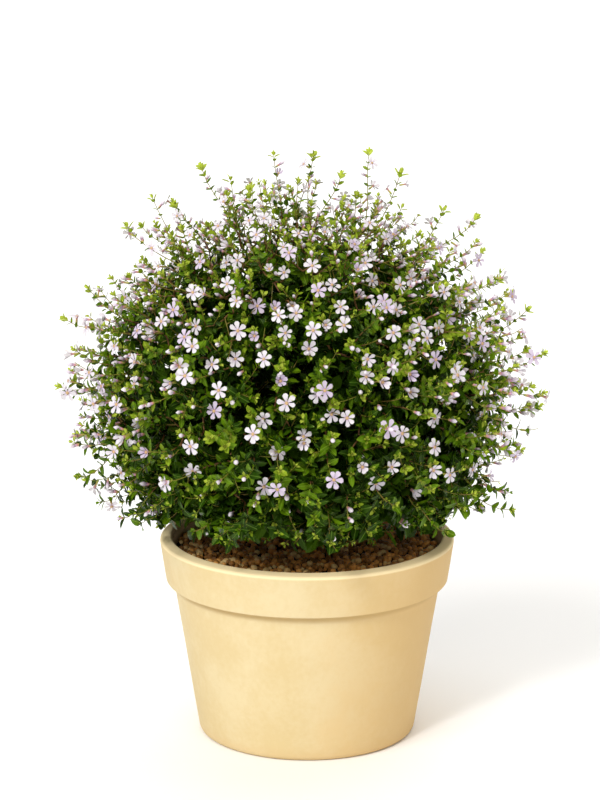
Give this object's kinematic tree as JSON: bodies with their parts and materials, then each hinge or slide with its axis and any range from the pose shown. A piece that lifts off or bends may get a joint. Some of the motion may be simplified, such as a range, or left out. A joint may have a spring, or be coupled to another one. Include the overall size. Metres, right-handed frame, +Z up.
{
  "type": "potted cuphea shrub",
  "caption": "Dense dome-shaped evergreen shrub with tiny leaves and small pale lilac six-petalled flowers, standing in a tapered clay pot with a banded rim.",
  "frame": {"origin": "centre of the pot's flat underside, on the surface that the pot stands on", "axes": "+Z up along the pot's axis, -Y towards the viewer of the picture, +X to the viewer's right"},
  "size_m": [0.3292, 0.3091, 0.3983],
  "materials": {
    "pot_clay": "matte",
    "growing_medium": "matte",
    "bark": "matte",
    "foliage": "matte"
  },
  "bodies": {
    "root": {"pot": "pot_clay", "soil": "growing_medium", "trunk": "bark", "bough_top": "bark", "bough_shoulder_1": "bark", "bough_shoulder_2": "bark", "bough_shoulder_3": "bark", "bough_shoulder_4": "bark", "bough_shoulder_5": "bark", "bough_skirt_1": "bark", "bough_skirt_2": "bark", "bough_skirt_3": "bark", "bough_skirt_4": "bark", "bough_skirt_5": "bark", "bough_skirt_6": "bark", "bough_skirt_7": "bark", "foliage_top": "foliage", "foliage_shoulder_1": "foliage", "foliage_shoulder_2": "foliage", "foliage_shoulder_3": "foliage", "foliage_shoulder_4": "foliage", "foliage_shoulder_5": "foliage", "foliage_skirt_1": "foliage", "foliage_skirt_2": "foliage", "foliage_skirt_3": "foliage", "foliage_skirt_4": "foliage", "foliage_skirt_5": "foliage", "foliage_skirt_6": "foliage", "foliage_skirt_7": "foliage"}
  },
  "joints": []
}
